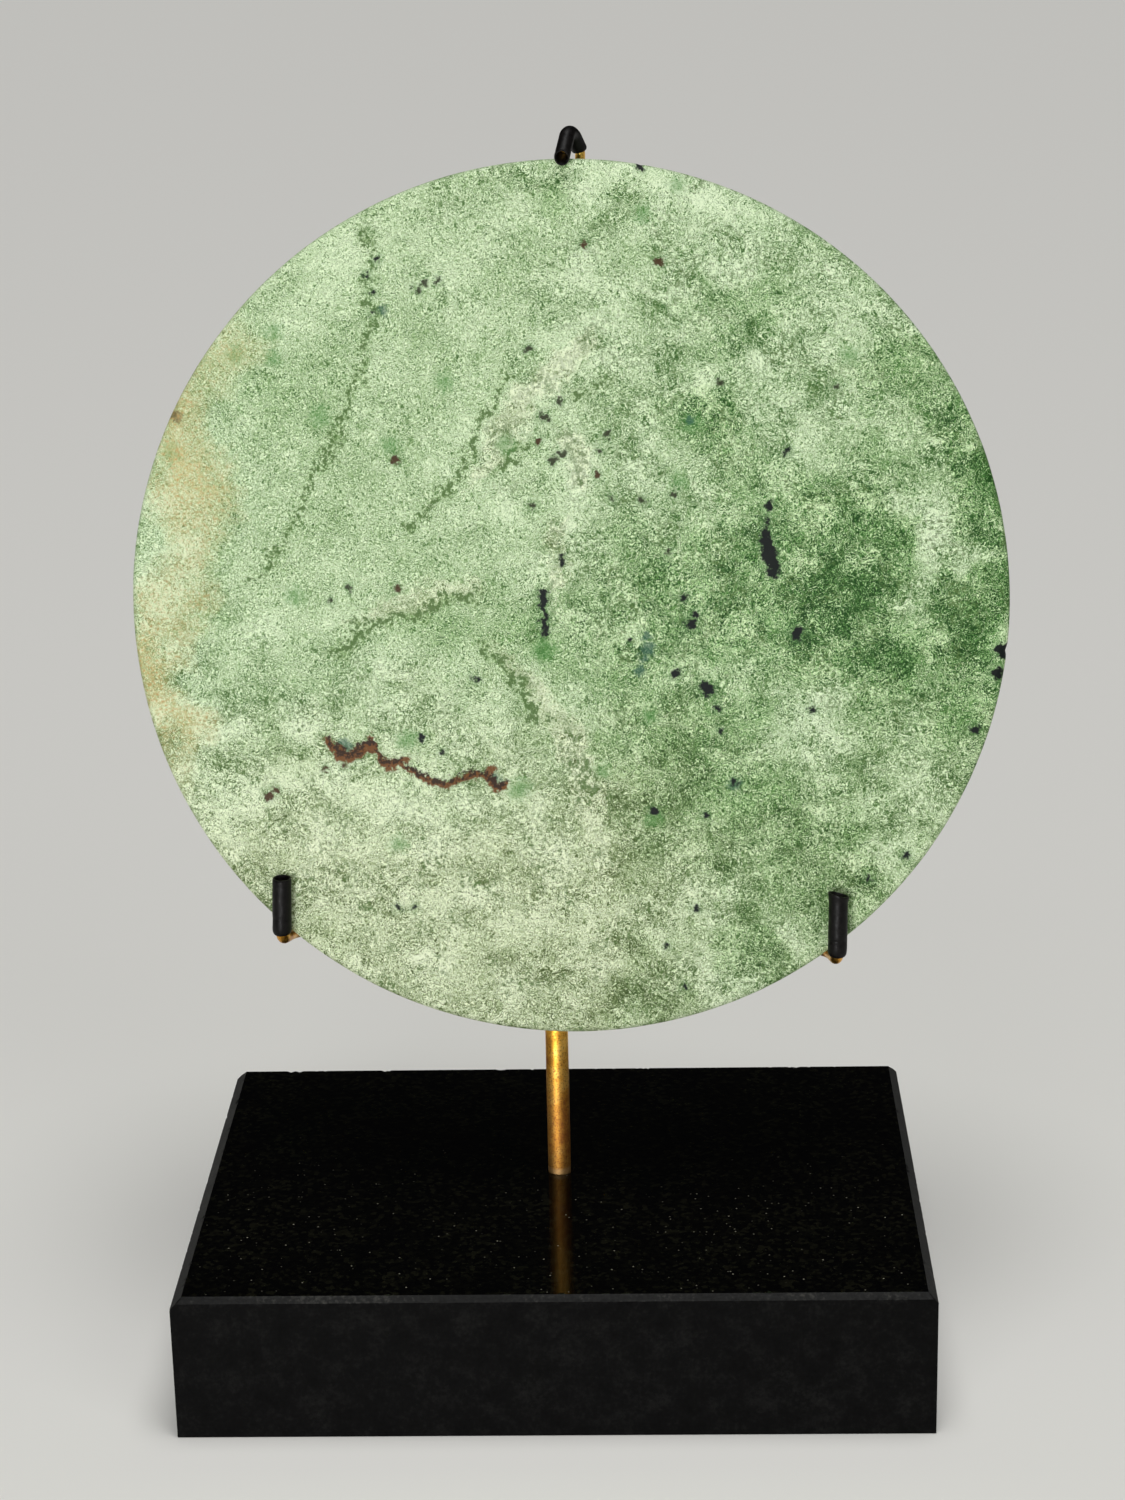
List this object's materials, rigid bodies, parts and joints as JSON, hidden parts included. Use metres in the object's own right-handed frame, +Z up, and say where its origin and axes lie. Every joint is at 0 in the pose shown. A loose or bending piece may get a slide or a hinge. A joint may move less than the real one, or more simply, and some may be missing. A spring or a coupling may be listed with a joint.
{
  "type": "greenstone disc on stand",
  "caption": "Plain polished greenstone disc, held leaning back by a brass mount with sleeved prongs and a hook, on a rod set in a black granite block.",
  "frame": {"origin": "middle of the block's underside", "axes": "+Z up, -Y the side that the disc faces, +X to the viewer's right"},
  "size_m": [0.1764, 0.11, 0.2463],
  "materials": {
    "greenstone": "satin",
    "black_granite": "polished",
    "brass": "satin",
    "black_sleeve": "satin"
  },
  "bodies": {
    "root": {"greenstone_disc": "greenstone", "granite_base": "black_granite", "brass_post": "brass", "brass_arm_left": "brass", "brass_arm_right": "brass", "brass_top_rod": "brass", "sleeve_left": "black_sleeve", "sleeve_right": "black_sleeve", "sleeve_top": "black_sleeve"}
  },
  "joints": []
}
